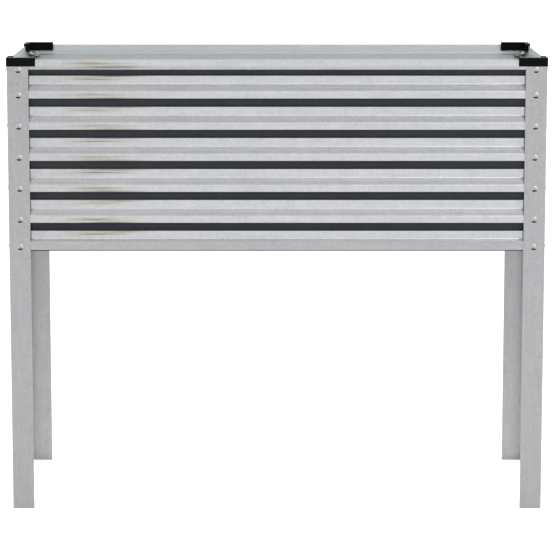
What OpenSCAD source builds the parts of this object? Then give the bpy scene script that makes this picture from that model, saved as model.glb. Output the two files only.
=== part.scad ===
// Raised planter on four legs: corrugated galvanised walls bolted into angle-section legs.
// The origin is on the ground under the middle of the planter; +X is its width, and -Y its front.

/* [Overall] */
// Width across the corner caps
planter_w = 1000; // [700:10:1400]
// Depth across the corner caps
planter_d = 400; // [300:10:700]
// Height of the legs
leg_h = 850; // [650:10:1000]

/* [Legs] */
// Width of each leg flange
leg_flange = 40; // [36:1:60]
// Thickness of the leg sheet
leg_t = 1.5; // [1:0.1:2.5]
// Distance from the leg's corner to its screws
screw_inset = 21; // [20:1:24]

/* [Walls] */
// Thickness of the wall sheet
wall_t = 0.8; // [0.5:0.1:1]
// Number of valleys in a wall
valleys = 6; // [3:1:6]
// Depth of the corrugation
wave_depth = 11.5; // [8:0.5:11.5]
// Height of a crest
crest_h = 13; // [13:0.5:16]
// Height of a valley
valley_h = 16; // [14:0.5:18]
// Height of the slope from a valley down to the crest below it
rise_h = 13; // [11:0.5:15]
// Height of the slope from a crest down to the valley below it
fall_h = 16; // [13:0.5:17]
// Radius of the bends, at the middle of the sheet
wall_bend_r = 3.5; // [2:0.5:3.5]

/* [Base] */
// Height of the base rail's upright flange
rail_h = 19; // [17:0.5:20]
// Width of the base rail's level flange
rail_w = 25; // [20:1:40]
// Thickness of the base rail
rail_t = 1.5; // [1:0.1:1.5]
// Thickness of a floor plank
plank_t = 1; // [0.8:0.1:1.5]
// Height of a floor plank
plank_h = 12; // [8:1:13]
// Diameter of a drain hole
drain_d = 8; // [5:1:12]

/* [Corner caps] */
// Length of each arm of a cap
cap_arm = 54; // [50:1:70]
// Height of a cap
cap_h = 16; // [10:1:16]
// Thickness of a cap's top
cap_top = 3; // [2:0.5:4]
// Thickness of a cap's outer skirt
cap_skirt = 1; // [1:0.5:3]

/* [Fasteners] */
// Diameter over a screw's thread
screw_d = 6; // [5:0.5:6]
// Length of a screw under its head
screw_l = 16; // [14:1:16]
// Diameter of a screw head
head_d = 12; // [10:0.5:12]
// Height of a screw head
head_h = 2.7; // [2.5:0.1:4]

/* [Hidden] */
$fn = 48;

galvanised_frame = "#b3b4b6";
galvanised_wall = "#cbcdd1";
zinc = "#c6c8ca";
black_plastic = "#1a1a1b";

// Round stretches of a folded sheet are drawn with this many steps
bend_steps = 5;
// What a cutting tool reaches past the face that it cuts
over = 1;

// Outer corner of a leg, from the middle of the planter
leg_x = planter_w / 2 - cap_skirt;
leg_y = planter_d / 2 - cap_skirt;
leg_bend_r = leg_t + 0.5;

// Corrugation, from the top of the wall down
pitch = crest_h + valley_h + rise_h + fall_h;
wall_top = leg_h - 1.5;
// The top crest leans in a little below its flat band, which the caps straddle
band_z = wall_top - 11;
lean_z = wall_top - 18;
lean_in = 1;
first_valley_z = wall_top - crest_h - fall_h;
last_valley_z = first_valley_z - valley_h - (valleys - 1) * pitch;
// Under the last valley a narrow ledge comes out to the hem, which lies behind the base rail
hem_z = last_valley_z - 3;
rail_top = last_valley_z - 2;
rail_z = rail_top - rail_h;
hem_end_z = rail_z + rail_t + 1;
wall_inset = screw_inset - 6;

// Screws: one through the base rail, one on each whole crest, and one below the cap
hole_d = screw_d + 0.6;
// Screws and nuts are plain where they are threaded: a shank has its thread's mean diameter
shank_d = screw_d - 0.5;
shank_tip = 0.8;
nut_af = 10;
nut_h = 5;
nut_bore_d = shank_d + 0.1;
rail_screw_z = rail_z + 8;
top_screw_z = leg_h - 19;
screw_rows = valleys + 1;
recess_w = 1.2;
recess_l = 5.6;
recess_depth = 1.8;

// Base rails and floor
rail_bend_r = rail_t + 1;
rail_end_gap = 3.5;
rail_cope = rail_w + 0.5;
// Each plank has its own node, so their number is fixed
planks = 5;
plank_gap = 2;
plank_clear = 5;
plank_z = rail_z + rail_t;
plank_l = 2 * (leg_y - plank_clear);
plank_w = (2 * (leg_x - plank_clear) - (planks - 1) * plank_gap) / planks;
corner_notch = 34;
drain_rows = 4;
drain_columns = 2;

// Corner caps
cap_slot = 5;
cap_inner = 2.5;
cap_corner_r = 2;
cap_end_r = 1;
rib_t = 1.5;
rib_places = [20, 45];

// ---------- folded sheet: an outline with round bends, worked out from its fold points ----------

function unit(v) = v / norm(v);
function left_of(v) = unit([-v[1], v[0]]);

// Points of a round bend at b on the way from a to c, each with the path's left-hand normal
function bend(a, b, c, r) =
    let(
        u = unit(a - b),
        v = unit(c - b),
        half = acos(u * v) / 2,
        centre = b + unit(u + v) * r / sin(half),
        side = sign(cross(b - a, c - b)),
        first = b + u * r / tan(half) - centre,
        start = atan2(first[1], first[0]),
        sweep = side * (180 - 2 * half)
    )
    [for (i = [0:bend_steps])
        let(angle = start + sweep * i / bend_steps, out = [cos(angle), sin(angle)])
        [centre + r * out, -side * out]];

// The middle line of a sheet folded at the inner points of a path
function middle_line(path, r) =
    let(last = len(path) - 1)
    concat(
        [[path[0], left_of(path[1] - path[0])]],
        [for (i = [1:last - 1]) each bend(path[i - 1], path[i], path[i + 1], r)],
        [[path[last], left_of(path[last] - path[last - 1])]]
    );

// The closed outline of that sheet with its thickness
function sheet_outline(path, t, r) =
    let(line = middle_line(path, r), last = len(line) - 1)
    concat(
        [for (p = line) p[0] + p[1] * t / 2],
        [for (i = [last:-1:0]) line[i][0] - line[i][1] * t / 2]
    );

// A closed outline whose corners are rounded, each by its own radius
function rounded_outline(corners, radii) =
    let(n = len(corners))
    [for (i = [0:n - 1])
        each [for (p = bend(corners[(i + n - 1) % n], corners[i], corners[(i + 1) % n], radii[i])) p[0]]];

// ---------- fold points ----------

// Leg section in plan, with the leg's outer corner at the origin
leg_path = [
    [leg_flange, leg_t / 2],
    [leg_t / 2, leg_t / 2],
    [leg_t / 2, leg_flange]
];

// Wall section: distance in from the leg's inner face, then height
function valley_path(k) =
    let(top = first_valley_z - k * pitch, low = top - valley_h)
    [
        [wave_depth, top],
        [wave_depth, low],
        [0, low - rise_h],
        [0, low - rise_h - crest_h]
    ];

wall_path = [
    for (p = concat(
        [[0, wall_top], [0, band_z], [lean_in, lean_z]],
        [for (k = [0:valleys - 2]) each valley_path(k)],
        [
            [wave_depth, last_valley_z + valley_h],
            [wave_depth, last_valley_z],
            [rail_t, hem_z],
            [rail_t, hem_end_z]
        ]
    )) p + [wall_t / 2, 0]
];

// Rail section: distance in from the leg's inner face, then height above the rail's underside
rail_path = [
    [rail_t / 2, rail_h],
    [rail_t / 2, rail_t / 2],
    [rail_w, rail_t / 2]
];

// Plank section: distance across the plank, then height above the rail's level flange
plank_path = [
    [plank_t / 2, 0],
    [plank_t / 2, plank_h - plank_t / 2],
    [plank_w - plank_t / 2, plank_h - plank_t / 2],
    [plank_w - plank_t / 2, 0]
];

// ---------- screw positions ----------

function screw_z(row) =
    row == 0 ? rail_screw_z
    : row == screw_rows - 1 ? top_screw_z
    : first_valley_z + fall_h + crest_h / 2 - (screw_rows - 1 - row) * pitch;

// The top nut bears on the slope under the top crest, at its own lower edge
top_slope = (wave_depth - lean_in) / (lean_z - first_valley_z);
top_nut_seat = leg_t + wall_t * 1.5 + lean_in + (lean_z - top_screw_z + nut_af / 2) * top_slope;

// Distance from the leg's outer face to the nut
function nut_seat(row) =
    row == 0 ? leg_t + rail_t + wall_t
    : row == screw_rows - 1 ? top_nut_seat
    : leg_t + wall_t;

// ---------- placing ----------

// Puts a piece drawn at a leg's outer corner, arms along +X and +Y, at one of the four corners
module at_corner(right, rear) {
    mirror([right, 0, 0])
        mirror([0, rear, 0])
            translate([-leg_x, -leg_y, 0])
                children();
}

// Turns a piece drawn on a corner's front flange onto its side flange
module on_side_flange() {
    mirror([1, -1, 0])
        children();
}

// Runs a section, drawn as distance in and height, along a side of the planter
module along_side(length, half_span) {
    translate([-length / 2, -half_span + leg_t, 0])
        rotate([90, 0, 90])
            linear_extrude(length)
                children();
}

// Puts a piece drawn at the front of the planter on one of its four sides
module on_left() {
    rotate([0, 0, -90])
        children();
}

module on_right() {
    rotate([0, 0, 90])
        children();
}

module on_rear() {
    rotate([0, 0, 180])
        children();
}

// Holes along Y through one row or all rows, at both ends of a side
module screw_holes(rows, half_length, half_span) {
    for (row = rows, end = [-1, 1])
        translate([end * (half_length - screw_inset), -half_span - over, screw_z(row)])
            rotate([-90, 0, 0])
                cylinder(d = hole_d, h = leg_t + wave_depth + 2 * over);
}

// ---------- sheet-metal parts ----------

module leg() {
    color(galvanised_frame)
        difference() {
            linear_extrude(leg_h)
                polygon(sheet_outline(leg_path, leg_t, leg_bend_r - leg_t / 2));
            flange_holes();
            on_side_flange()
                flange_holes();
        }
}

module flange_holes() {
    for (row = [0:screw_rows - 1])
        translate([screw_inset, -over, screw_z(row)])
            rotate([-90, 0, 0])
                cylinder(d = hole_d, h = leg_t + 2 * over);
}

module wall(half_length, half_span) {
    color(galvanised_wall)
        difference() {
            along_side(2 * (half_length - wall_inset), half_span)
                polygon(sheet_outline(wall_path, wall_t, wall_bend_r));
            screw_holes([0:screw_rows - 1], half_length, half_span);
        }
}

module rail(half_length, half_span) {
    color(galvanised_frame)
        difference() {
            along_side(2 * (half_length - leg_t - rail_end_gap), half_span)
                translate([0, rail_z])
                    polygon(sheet_outline(rail_path, rail_t, rail_bend_r - rail_t / 2));
            screw_holes([0], half_length, half_span);
        }
}

// A short rail has its level flange cut back at both ends, where it meets the long rails
module short_rail() {
    difference() {
        rail(leg_y, leg_x);
        for (end = [-1, 1])
            translate([end * (leg_y - leg_t - rail_cope / 2), -leg_x + leg_t + rail_bend_r + rail_w / 2, rail_z])
                cube([rail_cope, rail_w, 2 * rail_bend_r], center = true);
    }
}

// Floor planks are numbered from the left
module floor_plank(number) {
    color(galvanised_wall)
        difference() {
            translate([-leg_x + plank_clear + (number - 1) * (plank_w + plank_gap), plank_l / 2, plank_z])
                rotate([90, 0, 0])
                    linear_extrude(plank_l)
                        polygon(sheet_outline(plank_path, plank_t, 1.5 * plank_t));
            corner_notches();
            drain_holes(number);
        }
}

module corner_notches() {
    for (right = [0, 1], rear = [0, 1])
        at_corner(right, rear)
            translate([0, 0, plank_z - over])
                cube([corner_notch, corner_notch, plank_h + 2 * over]);
}

module drain_holes(number) {
    plank_x = -leg_x + plank_clear + (number - 1) * (plank_w + plank_gap);
    for (column = [1:drain_columns], row = [1:drain_rows])
        translate([
            plank_x + plank_w * (column - 0.5) / drain_columns,
            plank_l * ((row - 0.5) / drain_rows - 0.5),
            plank_z + plank_h - plank_t - over
        ])
            cylinder(d = drain_d, h = plank_t + 2 * over);
}

// ---------- corner caps ----------

module l_outline(outer, inner, reach, corner_r, end_r) {
    polygon(rounded_outline(
        [[outer, outer], [reach, outer], [reach, inner], [inner, inner], [inner, reach], [outer, reach]],
        [corner_r, end_r, end_r, end_r, end_r, end_r]
    ));
}

module corner_cap() {
    color(black_plastic)
        translate([0, 0, leg_h + cap_top - cap_h]) {
            difference() {
                linear_extrude(cap_h)
                    l_outline(-cap_skirt, cap_slot + cap_inner, cap_arm - cap_skirt, cap_corner_r, cap_end_r);
                translate([0, 0, -over])
                    linear_extrude(cap_h - cap_top + over)
                        slot_outline();
            }
            cap_ribs();
            on_side_flange()
                cap_ribs();
        }
}

// The slot under the cap is open at the end of each arm
module slot_outline() {
    square([cap_arm + over, cap_slot]);
    square([cap_slot, cap_arm + over]);
}

// Ribs that press the wall sheet against the leg
module cap_ribs() {
    sheet_face = leg_t + wall_t;
    for (place = rib_places)
        translate([place - rib_t / 2, sheet_face, 2])
            cube([rib_t, cap_slot - sheet_face + cap_inner / 2, cap_h - cap_top]);
}

// ---------- fasteners ----------

// Pan-head screw with a cross recess: its head is below the origin and its shank runs up +Z
module screw() {
    edge_h = 0.6;
    rise = head_h - edge_h;
    dome_r = (head_d * head_d / 4 + rise * rise) / (2 * rise);
    difference() {
        union() {
            cylinder(d = shank_d, h = screw_l - shank_tip);
            translate([0, 0, screw_l - shank_tip])
                cylinder(d1 = shank_d, d2 = shank_d - shank_tip, h = shank_tip);
            intersection() {
                translate([0, 0, -head_h])
                    cylinder(d = head_d, h = head_h);
                translate([0, 0, dome_r - head_h])
                    sphere(r = dome_r, $fn = 96);
            }
        }
        for (turn = [45, 135])
            rotate([0, 0, turn])
                translate([-recess_l / 2, -recess_w / 2, -head_h - over])
                    cube([recess_l, recess_w, recess_depth + over]);
    }
}

// Hexagon nut with its flats across Y, standing on the origin
module nut() {
    corner_r = nut_af / sqrt(3);
    chamfer = 0.6;
    difference() {
        intersection() {
            cylinder(r = corner_r, h = nut_h, $fn = 6);
            cylinder(r1 = corner_r + nut_h - chamfer, r2 = corner_r - chamfer, h = nut_h);
        }
        translate([0, 0, -over])
            cylinder(d = nut_bore_d, h = nut_h + 2 * over);
    }
}

module screw_column() {
    color(zinc)
        for (row = [0:screw_rows - 1])
            translate([screw_inset, 0, screw_z(row)])
                rotate([-90, 0, 0])
                    screw();
}

module nut_column() {
    color(zinc)
        for (row = [0:screw_rows - 1])
            translate([screw_inset, nut_seat(row), screw_z(row)])
                rotate([-90, 0, 0])
                    nut();
}

// ---------- assembly ----------

at_corner(0, 0) leg();  // leg_front_left
at_corner(1, 0) leg();  // leg_front_right
at_corner(0, 1) leg();  // leg_rear_left
at_corner(1, 1) leg();  // leg_rear_right

wall(leg_x, leg_y);  // wall_front
on_rear() wall(leg_x, leg_y);  // wall_rear
on_left() wall(leg_y, leg_x);  // wall_left
on_right() wall(leg_y, leg_x);  // wall_right

rail(leg_x, leg_y);  // rail_front
on_rear() rail(leg_x, leg_y);  // rail_rear
on_left() short_rail();  // rail_left
on_right() short_rail();  // rail_right

floor_plank(1);  // floor_plank_1
floor_plank(2);  // floor_plank_2
floor_plank(3);  // floor_plank_3
floor_plank(4);  // floor_plank_4
floor_plank(5);  // floor_plank_5

at_corner(0, 0) corner_cap();  // cap_front_left
at_corner(1, 0) corner_cap();  // cap_front_right
at_corner(0, 1) corner_cap();  // cap_rear_left
at_corner(1, 1) corner_cap();  // cap_rear_right

at_corner(0, 0) screw_column();  // screws_front_wall_left
at_corner(1, 0) screw_column();  // screws_front_wall_right
at_corner(0, 1) screw_column();  // screws_rear_wall_left
at_corner(1, 1) screw_column();  // screws_rear_wall_right
at_corner(0, 0) on_side_flange() screw_column();  // screws_left_wall_front
at_corner(0, 1) on_side_flange() screw_column();  // screws_left_wall_rear
at_corner(1, 0) on_side_flange() screw_column();  // screws_right_wall_front
at_corner(1, 1) on_side_flange() screw_column();  // screws_right_wall_rear

at_corner(0, 0) nut_column();  // nuts_front_wall_left
at_corner(1, 0) nut_column();  // nuts_front_wall_right
at_corner(0, 1) nut_column();  // nuts_rear_wall_left
at_corner(1, 1) nut_column();  // nuts_rear_wall_right
at_corner(0, 0) on_side_flange() nut_column();  // nuts_left_wall_front
at_corner(0, 1) on_side_flange() nut_column();  // nuts_left_wall_rear
at_corner(1, 0) on_side_flange() nut_column();  // nuts_right_wall_front
at_corner(1, 1) on_side_flange() nut_column();  // nuts_right_wall_rear
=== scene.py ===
import math

import bmesh
import bpy
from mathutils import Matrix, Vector


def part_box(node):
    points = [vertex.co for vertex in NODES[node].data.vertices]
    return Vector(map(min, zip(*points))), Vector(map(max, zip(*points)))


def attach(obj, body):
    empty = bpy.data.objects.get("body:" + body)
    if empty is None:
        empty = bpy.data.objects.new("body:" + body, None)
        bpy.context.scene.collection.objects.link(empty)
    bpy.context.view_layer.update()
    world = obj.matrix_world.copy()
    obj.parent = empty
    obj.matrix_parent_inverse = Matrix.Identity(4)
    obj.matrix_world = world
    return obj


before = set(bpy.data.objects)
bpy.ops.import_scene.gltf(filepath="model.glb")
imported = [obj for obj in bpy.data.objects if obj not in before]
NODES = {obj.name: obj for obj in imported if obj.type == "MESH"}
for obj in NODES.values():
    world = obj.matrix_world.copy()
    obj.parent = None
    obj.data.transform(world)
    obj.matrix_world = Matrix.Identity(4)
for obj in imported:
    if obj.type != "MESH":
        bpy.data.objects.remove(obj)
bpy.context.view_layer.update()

MM = 0.001

# Places that the finishes need, from the frame
WALL_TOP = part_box("wall_front")[1].z
LEG_EDGE_X = -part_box("leg_front_left")[1].x
LEG_EDGE_Y = -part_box("leg_front_left")[1].y


# ---------- node graphs ----------

class Graph:
    """A material's node tree, with short calls for the nodes that every finish here uses."""

    # Sockets of a Mix node when it mixes colours
    MIX_A, MIX_B, MIX_RESULT = 6, 7, 2
    # Most of a noise's values lie between these two
    NOISE_LOW, NOISE_HIGH = 0.3, 0.7

    def __init__(self, name):
        self.material = bpy.data.materials.new(name)
        self.material.use_nodes = True
        self.tree = self.material.node_tree
        self.shader = self.tree.nodes["Principled BSDF"]
        self.place = self.tree.nodes.new("ShaderNodeTexCoord").outputs["Object"]
        self.x, self.y, self.z = self.axes(self.place)
        self.facing = self.axes(self.tree.nodes.new("ShaderNodeNewGeometry").outputs["Normal"])
        self.up = self.facing[2]

    def link(self, value, socket):
        if isinstance(value, bpy.types.NodeSocket):
            self.tree.links.new(value, socket)
        else:
            socket.default_value = value

    def set(self, name, value):
        self.link(value, self.shader.inputs[name])

    def axes(self, vector):
        node = self.tree.nodes.new("ShaderNodeSeparateXYZ")
        self.link(vector, node.inputs[0])
        return node.outputs

    def math(self, operation, *values):
        node = self.tree.nodes.new("ShaderNodeMath")
        node.operation = operation
        for value, socket in zip(values, node.inputs):
            self.link(value, socket)
        return node.outputs[0]

    def times(self, *values):
        result = values[0]
        for value in values[1:]:
            result = self.math("MULTIPLY", result, value)
        return result

    def plus(self, *values):
        result = values[0]
        for value in values[1:]:
            result = self.math("ADD", result, value)
        return result

    def minus(self, a, b):
        return self.math("SUBTRACT", a, b)

    def span(self, value, low, high, to_low=0.0, to_high=1.0, smooth=False):
        """Maps low..high to to_low..to_high, and holds the ends."""
        node = self.tree.nodes.new("ShaderNodeMapRange")
        node.interpolation_type = "SMOOTHSTEP" if smooth else "LINEAR"
        for value, socket in zip((value, low, high, to_low, to_high), node.inputs):
            self.link(value, socket)
        return node.outputs["Result"]

    def spread(self, noise, to_low, to_high):
        """Maps a noise's usual values to to_low..to_high."""
        return self.span(noise, self.NOISE_LOW, self.NOISE_HIGH, to_low, to_high)

    def mix_value(self, factor, a, b):
        return self.plus(self.times(a, self.minus(1.0, factor)), self.times(b, factor))

    def bump_at(self, value, centre, reach):
        """1 at the centre, falling smoothly to 0 at that reach to either side."""
        away = self.math("ABSOLUTE", self.minus(value, centre))
        return self.span(away, 0.0, reach, 1.0, 0.0, smooth=True)

    def bumps_at(self, value, places):
        """The sum of bumps, each given by its centre and its reach."""
        return self.plus(*[self.bump_at(value, centre, reach) for centre, reach in places])

    def scaled(self, scale):
        """The place, with so many units to the metre: along X, Y and Z, or the same along all three."""
        node = self.tree.nodes.new("ShaderNodeMapping")
        self.link(self.place, node.inputs["Vector"])
        node.inputs["Scale"].default_value = scale if isinstance(scale, (list, tuple)) else [scale] * 3
        return node.outputs[0]

    def noise(self, scale, detail=3.0, roughness=0.5):
        node = self.tree.nodes.new("ShaderNodeTexNoise")
        self.link(self.scaled(scale), node.inputs["Vector"])
        node.inputs["Scale"].default_value = 1.0
        node.inputs["Detail"].default_value = detail
        node.inputs["Roughness"].default_value = roughness
        return node.outputs["Fac"]

    def crystals(self, scale):
        """Three random values from 0 to 1 for each crystal of zinc."""
        node = self.tree.nodes.new("ShaderNodeTexVoronoi")
        self.link(self.scaled(scale), node.inputs["Vector"])
        node.inputs["Scale"].default_value = 1.0
        return self.axes(node.outputs["Color"])

    def mix(self, factor, a, b, blend="MIX"):
        node = self.tree.nodes.new("ShaderNodeMix")
        node.data_type = "RGBA"
        node.blend_type = blend
        self.link(factor, node.inputs["Factor"])
        self.link(a, node.inputs[self.MIX_A])
        self.link(b, node.inputs[self.MIX_B])
        return node.outputs[self.MIX_RESULT]

    def grey(self, value):
        node = self.tree.nodes.new("ShaderNodeCombineColor")
        for channel in range(3):
            self.link(value, node.inputs[channel])
        return node.outputs[0]

    def shade(self, colour, tone):
        """A colour made lighter or darker by a number."""
        return self.mix(1.0, colour, self.grey(tone), "MULTIPLY")

    def relief(self, height, strength, distance):
        node = self.tree.nodes.new("ShaderNodeBump")
        self.link(height, node.inputs["Height"])
        node.inputs["Strength"].default_value = strength
        node.inputs["Distance"].default_value = distance
        self.link(node.outputs["Normal"], self.shader.inputs["Normal"])


def rgb(red, green, blue):
    return (red, green, blue, 1.0)


# ---------- galvanised steel ----------

LIGHT_ZINC = rgb(0.634, 0.644, 0.672)
DULL_ZINC = rgb(0.470, 0.474, 0.483)
RAIL_ZINC = rgb(0.484, 0.489, 0.504)
FLOOR_ZINC = rgb(0.64, 0.65, 0.66)
# Lighter copies of the zinc for the inner faces of the long walls and of the end walls: painted light
# against the shade inside the box
INSIDE_ZINC_LIT = rgb(0.800, 0.838, 0.852)
END_ZINC_LIT = rgb(0.785, 0.85, 0.845)
STAIN_TINT = rgb(1.0, 0.975, 0.84)
# Colour of the painted shadow line where a wall passes behind a leg
GAP_SHADOW = rgb(0.11, 0.113, 0.116)
# Tints of the painted shade on faces that look down
UNDERSIDE_SHADE_GREEN = rgb(0.86, 0.94, 0.94)
UNDERSIDE_SHADE_BLUE = rgb(0.84, 0.87, 1.0)
WARMTH = (1.012, 1.002, 0.985)

FRAME_STREAK = 0.035
# The painted shade under a sheet: how far a face looks down where it begins and where it is whole, and its
# tones
UNDERSIDE_SHADE_BEGINS = (-0.05, -0.13)
UNDERSIDE_SHADE_WHOLE = (-0.16, -0.30)
UNDERSIDE_SHADE_EDGE_TONE = 0.83
UNDERSIDE_SHADE_TONE = 0.112
# Heights between which painted light, standing in for light bounced off the floor, brightens the legs' inner
# faces, and how much it does at each
LEG_BOUNCE_HEIGHTS = (0.42, 0.06)
LEG_BOUNCE_TONES = (0.02, 0.20)


class Galvanised(Graph):
    """Galvanised sheet whose rolling streaks run along one axis, with soft mottling and faint crystals.

    streak is how strong the streaks are, and the roughness runs from shine to dull.
    """

    # Streaks to the metre, along the rolling direction and across it
    ALONG, ACROSS = 9, 330

    def __init__(self, name, colour, along, streak=0.045, dull=0.40, shine=0.34):
        super().__init__(name)
        streaks = self.noise(self.drawn_out(along, self.ALONG, self.ACROSS), detail=4, roughness=0.6)
        hairs = self.noise(self.drawn_out(along, 4 * self.ALONG, 4 * self.ACROSS), detail=2)
        mottle = self.noise(170)
        specks = self.noise(420, detail=2)
        blots = self.noise(self.drawn_out(along, 3 * self.ALONG, 75), detail=2)
        self.patches = self.noise(5, detail=2)
        crystals = self.crystals(115)
        # Each layer, with how much it lightens and darkens the zinc
        layers = (
            (streaks, streak),
            (hairs, 0.3 * streak),
            (specks, 0.045),
            (mottle, 0.05),
            (blots, 0.03),
            (self.patches, 0.012),
        )
        self.tone = self.plus(
            1.0,
            *[self.spread(layer, -swing, swing) for layer, swing in layers],
            self.span(crystals[0], 0, 1, -0.018, 0.018),
        )
        warmer = rgb(*[part * warmth for part, warmth in zip(colour, WARMTH)])
        self.colour = self.mix(self.span(self.patches, 0.4, 0.6), colour, warmer)
        self.roughness = self.plus(
            self.spread(mottle, shine, dull),
            self.span(crystals[1], 0, 1, -0.025, 0.025),
        )
        self.set("Metallic", 1.0)
        self.relief(self.plus(mottle, self.times(hairs, 0.5)), 0.06, 0.3 * MM)

    @staticmethod
    def drawn_out(along, scale_along, scale_across):
        return [scale_along if axis == along else scale_across for axis in "XYZ"]

    def retone(self, factor):
        self.tone = self.times(self.tone, factor)

    def paint_underside_shade(self):
        """Painted shade on faces that look down: darker, and tinted from green to blue in patches."""
        underside_shade = self.span(self.up, *UNDERSIDE_SHADE_WHOLE)
        self.retone(self.span(self.up, *UNDERSIDE_SHADE_BEGINS, 1.0, UNDERSIDE_SHADE_EDGE_TONE))
        self.retone(self.span(underside_shade, 0.0, 1.0, 1.0, UNDERSIDE_SHADE_TONE))
        hue = self.mix(self.span(self.patches, 0.42, 0.58), UNDERSIDE_SHADE_GREEN, UNDERSIDE_SHADE_BLUE)
        self.colour = self.mix(underside_shade, self.colour, self.mix(1.0, self.colour, hue, "MULTIPLY"))

    def done(self):
        self.set("Base Color", self.shade(self.colour, self.tone))
        self.set("Roughness", self.roughness)
        return self.material


def frame_sheet(name, along, colour=DULL_ZINC):
    sheet = Galvanised(name, colour, along, streak=FRAME_STREAK)
    sheet.paint_underside_shade()
    return sheet.done()


def leg_sheet():
    """Painted light: the legs' inner faces get lighter towards the ground, as light bounced off the floor
    would make them.
    """
    leg = Galvanised("galvanised_leg", DULL_ZINC, "Z", streak=FRAME_STREAK)
    outward = leg.plus(
        leg.times(leg.facing[0], leg.math("SIGN", leg.x)),
        leg.times(leg.facing[1], leg.math("SIGN", leg.y)),
    )
    inner = leg.span(outward, -0.5, -0.9)
    # Painted light from the floor, stronger near the ground
    floor_bounce_light = leg.span(leg.z, *LEG_BOUNCE_HEIGHTS, *LEG_BOUNCE_TONES)
    leg.retone(leg.plus(1.0, leg.times(inner, floor_bounce_light)))
    return leg.done()


def floor_sheet():
    sheet = Galvanised("floor", FLOOR_ZINC, "Y", streak=0.08, dull=0.5, shine=0.42)
    sheet.paint_underside_shade()
    return sheet.done()


# ---------- corrugated walls ----------

# One wave of a wall runs from the top of a crest down: crest, fall, valley and rise.
# Places on it are parts of the pitch.
WAVE_PITCH = 58 * MM
# The stretch where the painted light on a rise's top fades, and the one where painted shade darkens its foot
RISE_TOP_LIGHT_FADE = (0.80, 0.89)
RISE_TOP_LIGHT_TONE = 0.42
RISE_FOOT_SHADE = (0.88, 0.94)
RISE_FOOT_SHADE_TONES = (0.04, -0.085)
# Centre and reach of the bends at a fall's top and foot, and the tone of the painted shade along them
FALL_BENDS = ((0.25, 0.04), (0.475, 0.04))
FALL_BEND_SHADE_TONE = -0.45
# The stretches where the sheet sets back from the legs, and where it comes out again
SETS_BACK = (0.26, 0.46)
COMES_OUT = (0.90, 1.0)

# The inner face: its tones of painted light and shade where it looks level, leans up a little and looks up,
# how much of the outer face's mottling it has, and how much duller it is
LEVEL_TONE, LEANING_TONE, UPWARD_TONE = 1.06, 0.81, 0.75
INSIDE_MOTTLING = 0.45
INSIDE_DULLER = 0.2

# Beside a leg, distances are from the leg's edge towards the wall's middle.
# The painted shadow line has a centre and a reach. The painted light beside it has a reach on flats and one
# on rises.
SHADOW_LINE = (-0.6 * MM, 1.7 * MM)
SHADOW_LINE_STRENGTH = 0.85
PAINTED_LIGHT_REACH = (10 * MM, 16 * MM)
PAINTED_LIGHT_TONE = 0.8
BRIGHTEST_TONE = 1.45


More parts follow.
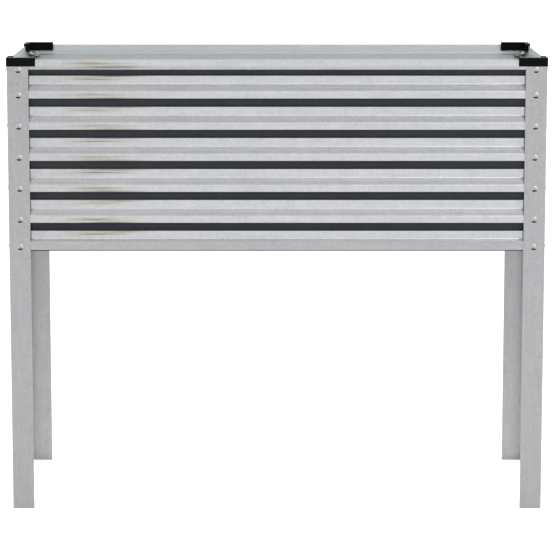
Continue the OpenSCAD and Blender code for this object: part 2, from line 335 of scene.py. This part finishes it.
class WallSheet(Galvanised):
    """A corrugated wall's finish, with painted light and shade. inward is the way its inner face looks, as
    an axis number and a sign.
    """

    def __init__(self, name, along, inward, lit_inside=INSIDE_ZINC_LIT):
        super().__init__(name, LIGHT_ZINC, along)
        axis, sign = inward
        self.inner = self.span(self.times(self.facing[axis], float(sign)), -0.05, 0.05)
        self.outer = self.minus(1.0, self.inner)
        self.wave = self.math("FRACT", self.math("DIVIDE", self.minus(WALL_TOP, self.z), WAVE_PITCH))
        # The inner face takes a lighter copy of the zinc: painted light against the shade inside the box
        self.colour = self.mix(self.inner, self.colour, lit_inside)
        self.roughness = self.plus(self.roughness, self.times(self.inner, INSIDE_DULLER))
        mottling = self.span(self.inner, 0.0, 1.0, 1.0, INSIDE_MOTTLING)
        self.tone = self.plus(1.0, self.times(self.minus(self.tone, 1.0), mottling))
        self.retone(self.mix_value(self.inner, self.outer_painted_light_and_shade(), self.inner_painted_light_and_shade()))
        self.paint_underside_shade()
        if along == "X":
            self.paint_light_and_shade_beside_legs(self.x, LEG_EDGE_X)
        else:
            self.paint_light_and_shade_beside_legs(self.y, LEG_EDGE_Y)

    def outer_painted_light_and_shade(self):
        """Painted light and shade: each rise is lightened at its top and darkened at its foot, and each fall
        is darkest along its two bends.
        """
        # Painted light on the top of each rise and painted shade at its foot
        rise_light_and_shade = self.plus(
            self.span(self.wave, *RISE_TOP_LIGHT_FADE, RISE_TOP_LIGHT_TONE, 0.0),
            self.span(self.wave, *RISE_FOOT_SHADE, *RISE_FOOT_SHADE_TONES),
        )
        painted_rise_light_and_shade = self.times(self.span(self.up, 0.1, 0.5), rise_light_and_shade)
        # Painted shade along each fall's two bends
        falls = self.span(self.up, -0.2, -0.35)
        bends = self.bumps_at(self.wave, FALL_BENDS)
        return self.plus(1.0, painted_rise_light_and_shade, self.times(bends, falls, FALL_BEND_SHADE_TONE))

    def inner_painted_light_and_shade(self):
        """Painted light and shade: faces that look level are lightened a little, and faces that lean or look
        up are darkened.
        """
        leaning = self.span(self.up, 0.04, 0.12, LEVEL_TONE, LEANING_TONE)
        return self.times(leaning, self.span(self.up, 0.3, 0.6, 1.0, UPWARD_TONE))

    def paint_light_and_shade_beside_legs(self, place, leg_edge):
        """Where the outer face is set back, painted light lightens it beside the legs, up to a painted
        shadow line along each leg's edge.
        """
        inset = self.minus(leg_edge, self.math("ABSOLUTE", place))
        set_back = self.times(
            self.span(self.wave, *SETS_BACK),
            self.span(self.wave, *COMES_OUT, 1.0, 0.0),
            self.outer,
        )
        painted_shadow_line = self.bump_at(inset, *SHADOW_LINE)
        reach = self.span(self.up, 0.2, 0.5, *PAINTED_LIGHT_REACH)
        near = self.math("POWER", self.span(inset, 0.0, reach, 1.0, 0.0), 3.0)
        # Painted light beside the leg, kept off the painted shadow line
        shine = self.times(near, PAINTED_LIGHT_TONE, self.minus(1.0, painted_shadow_line), set_back)
        self.retone(self.plus(1.0, shine))
        self.tone = self.math("MINIMUM", self.tone, BRIGHTEST_TONE)
        self.colour = self.mix(self.times(painted_shadow_line, set_back, SHADOW_LINE_STRENGTH), self.colour, GAP_SHADOW)


# The front wall's stains. Each fall has a streak above and below it, and another one beyond each:
# their centres and reaches on the wave
STREAKS_BY_FALL = ((0.213, 0.050), (0.520, 0.045))
STREAKS_BEYOND = ((0.100, 0.055), (0.618, 0.045))
# The centres and reaches of all the marks along the wall, from its middle, and how dark they are
BY_FALL_ALONG = (-0.298, 0.085)
BY_FALL_DARK, BY_FALL_DARK_AT_TOP = 0.39, 0.46
BEYOND_ALONG = (-0.338, 0.068)
BEYOND_DARK = 0.27
TINGE_ALONG = (-0.325, 0.100)
TINGE_DARK = 0.08
LINES_ALONG = (-0.315, 0.100)
LINES_DARK = 0.14
# The wall's left end is a little dark all over, from the first place on and fully from the second
END_ALONG = (-0.235, -0.40)
END_DARK = 0.06


def front_wall():
    """The front wall has water stains across its left part: streaks, a tinge around them and fine lines."""
    wall = WallSheet("wall_front", "X", (1, 1))
    by_fall = wall.times(
        wall.bumps_at(wall.wave, STREAKS_BY_FALL),
        wall.bump_at(wall.x, *BY_FALL_ALONG),
        wall.span(wall.z, WALL_TOP - 50 * MM, WALL_TOP - 10 * MM, BY_FALL_DARK, BY_FALL_DARK_AT_TOP),
    )
    beyond = wall.bumps_at(wall.wave, STREAKS_BEYOND)
    beyond = wall.times(beyond, wall.bump_at(wall.x, *BEYOND_ALONG), BEYOND_DARK)
    around = wall.plus(wall.span(wall.wave, 0.03, 0.09), wall.span(wall.wave, 0.62, 0.68, 0.0, -1.0))
    tinge = wall.times(around, wall.bump_at(wall.x, *TINGE_ALONG), TINGE_DARK)
    lines = wall.span(wall.noise((6, 500, 650), detail=2), 0.54, 0.62)
    lines = wall.times(lines, around, wall.bump_at(wall.x, *LINES_ALONG), LINES_DARK)
    left_end = wall.times(wall.span(wall.x, *END_ALONG, smooth=True), END_DARK)
    uneven = wall.span(wall.noise((7, 400, 400), roughness=0.65), 0.38, 0.62, 0.45, 1.35)
    level = wall.times(wall.span(wall.up, 0.15, 0.5, 1.0, 0.0), wall.span(wall.up, -0.3, -0.16))
    stain = wall.times(wall.plus(by_fall, beyond, tinge, lines, left_end), uneven, level, wall.outer)
    wall.retone(wall.minus(1.0, stain))
    wall.colour = wall.mix(wall.span(stain, 0.0, 0.25), wall.colour, STAIN_TINT, "MULTIPLY")
    wall.roughness = wall.plus(wall.roughness, wall.times(stain, 0.4))
    return wall.done()


# ---------- fasteners and caps ----------

def bright_zinc(name, colour, satin, shaded):
    """Plated fasteners. satin is how rough they are, and shaded is the tone of the painted shade on their
    undersides.
    """
    zinc = Graph(name)
    haze = zinc.noise(350)
    # Painted shade on faces that look down, such as the lower rim of each screw head
    under_shade = zinc.span(zinc.up, -0.24, -0.34, 1.0, shaded)
    zinc.set("Base Color", zinc.shade(colour, zinc.times(zinc.spread(haze, 0.92, 1.06), under_shade)))
    zinc.set("Metallic", 1.0)
    zinc.set("Roughness", zinc.spread(haze, satin - 0.03, satin + 0.03))
    zinc.relief(haze, 0.04, 0.2 * MM)
    return zinc.material


def black_plastic():
    plastic = Graph("black_plastic")
    grain = plastic.noise(1100, detail=2)
    haze = plastic.noise(40)
    worn = plastic.span(plastic.noise((30, 30, 220), roughness=0.6), 0.60, 0.72)
    base = plastic.mix(haze, rgb(0.0032, 0.0036, 0.0038), rgb(0.0052, 0.0056, 0.0058))
    plastic.set("Base Color", plastic.mix(plastic.times(worn, 0.5), base, rgb(0.016, 0.016, 0.017)))
    plastic.set("Roughness", plastic.plus(plastic.spread(haze, 0.33, 0.42), plastic.times(worn, 0.1)))
    plastic.set("Specular IOR Level", 0.05)
    plastic.relief(grain, 0.12, 0.15 * MM)
    return plastic.material


# ---------- the CAD nodes' finishes and edges ----------

SHARP_ANGLE = 30
JOIN_WITHIN = 0.001 * MM
CAP_EDGE = 0.7 * MM
CAP_EDGE_STEPS = 3
CAP_EDGE_ANGLE = 50


def finishes():
    """Materials by the start of a node's name. The first start that fits is the one that counts."""
    return {
        "leg_": leg_sheet(),
        "rail_front": frame_sheet("galvanised_front_rail", "X", RAIL_ZINC),
        "rail_rear": frame_sheet("galvanised_rear_rail", "X"),
        "rail_": frame_sheet("galvanised_short_rail", "Y"),
        "wall_front": front_wall(),
        "wall_rear": WallSheet("wall_rear", "X", (1, -1)).done(),
        "wall_left": WallSheet("wall_left", "Y", (0, 1), END_ZINC_LIT).done(),
        "wall_right": WallSheet("wall_right", "Y", (0, -1), END_ZINC_LIT).done(),
        "floor_": floor_sheet(),
        "cap_": black_plastic(),
        "screws_": bright_zinc("zinc_screw", rgb(0.56, 0.565, 0.575), satin=0.48, shaded=0.07),
        "nuts_": bright_zinc("zinc_nut", rgb(0.72, 0.745, 0.75), satin=0.32, shaded=0.18),
    }


def fold_smoother():
    """A modifier's node group that joins the faces of a CAD mesh and keeps only its real edges sharp."""
    tree = bpy.data.node_groups.new("fold_smoother", "GeometryNodeTree")
    tree.is_modifier = True
    for in_out in ("INPUT", "OUTPUT"):
        tree.interface.new_socket("Geometry", in_out=in_out, socket_type="NodeSocketGeometry")
    start = tree.nodes.new("NodeGroupInput")
    end = tree.nodes.new("NodeGroupOutput")
    join = tree.nodes.new("GeometryNodeMergeByDistance")
    join.inputs["Distance"].default_value = JOIN_WITHIN
    angle = tree.nodes.new("GeometryNodeInputMeshEdgeAngle")
    sharp = tree.nodes.new("FunctionNodeCompare")
    sharp.data_type = "FLOAT"
    sharp.operation = "GREATER_THAN"
    sharp.inputs[1].default_value = math.radians(SHARP_ANGLE)
    normals = tree.nodes.new("GeometryNodeSetMeshNormal")
    tree.links.new(start.outputs[0], join.inputs["Geometry"])
    tree.links.new(join.outputs[0], normals.inputs["Mesh"])
    tree.links.new(angle.outputs[0], sharp.inputs[0])
    tree.links.new(sharp.outputs[0], normals.inputs["Edge Sharpness"])
    tree.links.new(normals.outputs[0], end.inputs[0])
    return tree


def round_edges(piece):
    bevel = piece.modifiers.new("edges", "BEVEL")
    bevel.width = CAP_EDGE
    bevel.segments = CAP_EDGE_STEPS
    bevel.limit_method = "ANGLE"
    bevel.angle_limit = math.radians(CAP_EDGE_ANGLE)
    bevel.miter_outer = "MITER_ARC"
    bevel.use_clamp_overlap = True


def dress_frame(materials):
    """Gives every CAD node its finish and smooth folds, and the caps round edges."""
    smoother = fold_smoother()
    for name, node in NODES.items():
        finish = next(material for start, material in materials.items() if name.startswith(start))
        node.data.materials.clear()
        node.data.materials.append(finish)
        node.modifiers.new("folds", "NODES").node_group = smoother
        if name.startswith("cap_"):
            round_edges(node)
        node.modifiers.new("weighted normals", "WEIGHTED_NORMAL").keep_sharp = True


# ---------- screw threads ----------

THREAD_PITCH = 1.0 * MM
# Radii of a thread's crest and foot, and half the widths of both as parts of the pitch
THREAD_CREST = 3.0 * MM
THREAD_FOOT = 2.65 * MM
CREST_HALF = 0.08
FOOT_HALF = 0.40
# Steps in one turn, and how far a thread stops short of the screw's tip
THREAD_STEPS = 20
TIP_CLEAR = 0.9 * MM
THREAD_SHARP_ANGLE = 40


def solids_of(node_name, gap=10 * MM):
    """The boxes of a fastener node's solids, from the lowest up. They lie apart in height."""
    points = sorted((vertex.co for vertex in NODES[node_name].data.vertices), key=lambda point: point.z)
    groups = [[points[0]]]
    for point in points[1:]:
        if point.z - groups[-1][-1].z > gap:
            groups.append([])
        groups[-1].append(point)
    return [
        (Vector(map(min, zip(*group))), Vector(map(max, zip(*group))))
        for group in groups
    ]


def add_thread(verts, faces, place, length):
    """Adds a helical ridge, closed all round, that starts at the origin of place and runs along its +Z."""
    count = int(length / THREAD_PITCH * THREAD_STEPS)
    first = len(verts)
    for i in range(count + 1):
        angle = 2 * math.pi * i / THREAD_STEPS
        # The ridge rises over its first half turn and sinks over its last
        grown = min(1.0, 2 * i / THREAD_STEPS, 2 * (count - i) / THREAD_STEPS)
        crest = THREAD_FOOT + (THREAD_CREST - THREAD_FOOT) * grown
        section = (
            (THREAD_FOOT, -FOOT_HALF),
            (crest, -CREST_HALF),
            (crest, CREST_HALF),
            (THREAD_FOOT, FOOT_HALF),
        )
        for radius, offset in section:
            along = min(max(length * i / count + offset * THREAD_PITCH, 0.0), length)
            verts.append(place(Vector((radius * math.cos(angle), radius * math.sin(angle), along))))
    for i in range(count):
        here, ahead = first + 4 * i, first + 4 * (i + 1)
        for j in range(4):
            k = (j + 1) % 4
            faces.append((here + j, here + k, ahead + k, ahead + j))
    faces.append(tuple(first + j for j in (3, 2, 1, 0)))
    faces.append(tuple(first + 4 * count + j for j in range(4)))


def placing(centre, axis, start, inward):
    """A function that turns +Z inward along that axis, from start, without mirroring the thread."""
    side = 1 - axis
    hand = inward if axis == 0 else -inward

    def place(point):
        spot = centre.copy()
        spot[axis] = start + inward * point.z
        spot[side] += point.x
        spot.z += hand * point.y
        return spot

    return place


def thread_column(screws, nuts, material):
    """The threads on the ends of one column of screws, from each nut to just short of the screw's tip."""
    verts, faces = [], []
    for (screw_low, screw_high), (nut_low, nut_high) in zip(solids_of(screws), solids_of(nuts)):
        centre = (screw_low + screw_high) / 2
        size = screw_high - screw_low
        axis = 0 if size.x > size.y else 1
        inward = -1 if centre[axis] > 0 else 1
        start = nut_high[axis] if inward > 0 else nut_low[axis]
        tip = screw_high[axis] if inward > 0 else screw_low[axis]
        add_thread(verts, faces, placing(centre, axis, start, inward), abs(tip - start) - TIP_CLEAR)
    name = screws.replace("screws_", "threads_")
    mesh = bpy.data.meshes.new(name)
    mesh.from_pydata(verts, [], faces)
    mesh.validate()
    mesh.materials.append(material)
    turn_outward(mesh)
    for polygon in mesh.polygons:
        polygon.use_smooth = True
    mesh.set_sharp_from_angle(angle=math.radians(THREAD_SHARP_ANGLE))
    piece = bpy.data.objects.new(name, mesh)
    bpy.context.scene.collection.objects.link(piece)
    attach(piece, "root")


def turn_outward(mesh):
    """Turns every face of a mesh outward."""
    work = bmesh.new()
    work.from_mesh(mesh)
    bmesh.ops.recalc_face_normals(work, faces=work.faces)
    work.to_mesh(mesh)
    work.free()


def add_threads(material):
    for screws in sorted(name for name in NODES if name.startswith("screws_")):
        thread_column(screws, screws.replace("screws_", "nuts_"), material)


# ---------- studio ----------

FLOOR_HALF = 40.0
# How strongly the floor is lit from within, towards the planter and towards the camera
FLOOR_GLOW, FLOOR_GLOW_SEEN = 0.18, 0.75
HORIZON_LIGHT, ZENITH_LIGHT = 0.82, 0.90
# The sine of the elevation from which the sky is as bright as at the zenith
ZENITH_FROM = 0.9
LAMP_AIM = Vector((0, 0, WALL_TOP * 0.75))

# The camera's sensor and lens in millimetres, its shift as a part of the picture, its place, and its
# slope in degrees
SENSOR_WIDTH = 36.0
LENS = 169.06
SHIFT = -0.04
CAMERA_BACK = 4.9905
CAMERA_HEIGHT = 1.2338
CAMERA_DOWN = 8.874


def studio_floor():
    """A plain white floor, lit from within a little more where the camera sees it, so that it stays pale."""
    corners = [(x * FLOOR_HALF, y * FLOOR_HALF, 0) for x, y in ((-1, -1), (1, -1), (1, 1), (-1, 1))]
    mesh = bpy.data.meshes.new("studio_floor")
    mesh.from_pydata(corners, [], [(0, 1, 2, 3)])
    floor = bpy.data.objects.new("studio_floor", mesh)
    bpy.context.scene.collection.objects.link(floor)
    white = Graph("studio_floor")
    seen = white.tree.nodes.new("ShaderNodeLightPath").outputs["Is Camera Ray"]
    white.set("Base Color", rgb(0.85, 0.85, 0.85))
    white.set("Emission Color", rgb(1, 1, 1))
    white.set("Emission Strength", white.span(seen, 0.0, 1.0, FLOOR_GLOW, FLOOR_GLOW_SEEN))
    white.set("Roughness", 1.0)
    white.set("Specular IOR Level", 0.0)
    mesh.materials.append(white.material)


def studio_world():
    """Soft light all round, a little brighter overhead. The camera itself sees plain white."""
    world = bpy.data.worlds.new("studio")
    bpy.context.scene.world = world
    world.use_nodes = True
    tree = world.node_tree
    background = tree.nodes["Background"]
    background.inputs["Color"].default_value = rgb(1, 1, 1)
    coords = tree.nodes.new("ShaderNodeTexCoord")
    split = tree.nodes.new("ShaderNodeSeparateXYZ")
    ramp = tree.nodes.new("ShaderNodeMapRange")
    ramp.inputs["From Max"].default_value = ZENITH_FROM
    ramp.inputs["To Min"].default_value = HORIZON_LIGHT
    ramp.inputs["To Max"].default_value = ZENITH_LIGHT
    rays = tree.nodes.new("ShaderNodeLightPath")
    white = tree.nodes.new("ShaderNodeMath")
    white.operation = "MAXIMUM"
    tree.links.new(coords.outputs["Generated"], split.inputs[0])
    tree.links.new(split.outputs["Z"], ramp.inputs["Value"])
    tree.links.new(ramp.outputs["Result"], white.inputs[0])
    tree.links.new(rays.outputs["Is Camera Ray"], white.inputs[1])
    tree.links.new(white.outputs[0], background.inputs["Strength"])


def softbox(name, place, size, power):
    """A rectangular lamp that faces the planter."""
    data = bpy.data.lights.new(name, "AREA")
    data.shape = "RECTANGLE"
    data.size, data.size_y = size
    data.energy = power
    light = bpy.data.objects.new(name, data)
    light.location = place
    light.rotation_euler = (LAMP_AIM - light.location).to_track_quat("-Z", "Y").to_euler()
    bpy.context.scene.collection.objects.link(light)


def studio_camera():
    """The camera stands back and a little above, and looks slightly down."""
    data = bpy.data.cameras.new("camera")
    data.sensor_width = SENSOR_WIDTH
    data.lens = LENS
    data.shift_y = SHIFT
    camera = bpy.data.objects.new("camera", data)
    camera.location = (0, -CAMERA_BACK, CAMERA_HEIGHT)
    camera.rotation_euler = (math.radians(90 - CAMERA_DOWN), 0, 0)
    bpy.context.scene.collection.objects.link(camera)
    bpy.context.scene.camera = camera


materials = finishes()
dress_frame(materials)
add_threads(materials["nuts_"])

studio_floor()
studio_world()
softbox("key", place=(2.4, -3.0, 3.2), size=(2.2, 2.2), power=42)
softbox("fill", place=(-3.2, -2.4, 1.0), size=(0.8, 1.2), power=4)
studio_camera()
bpy.context.scene.view_settings.view_transform = "Standard"
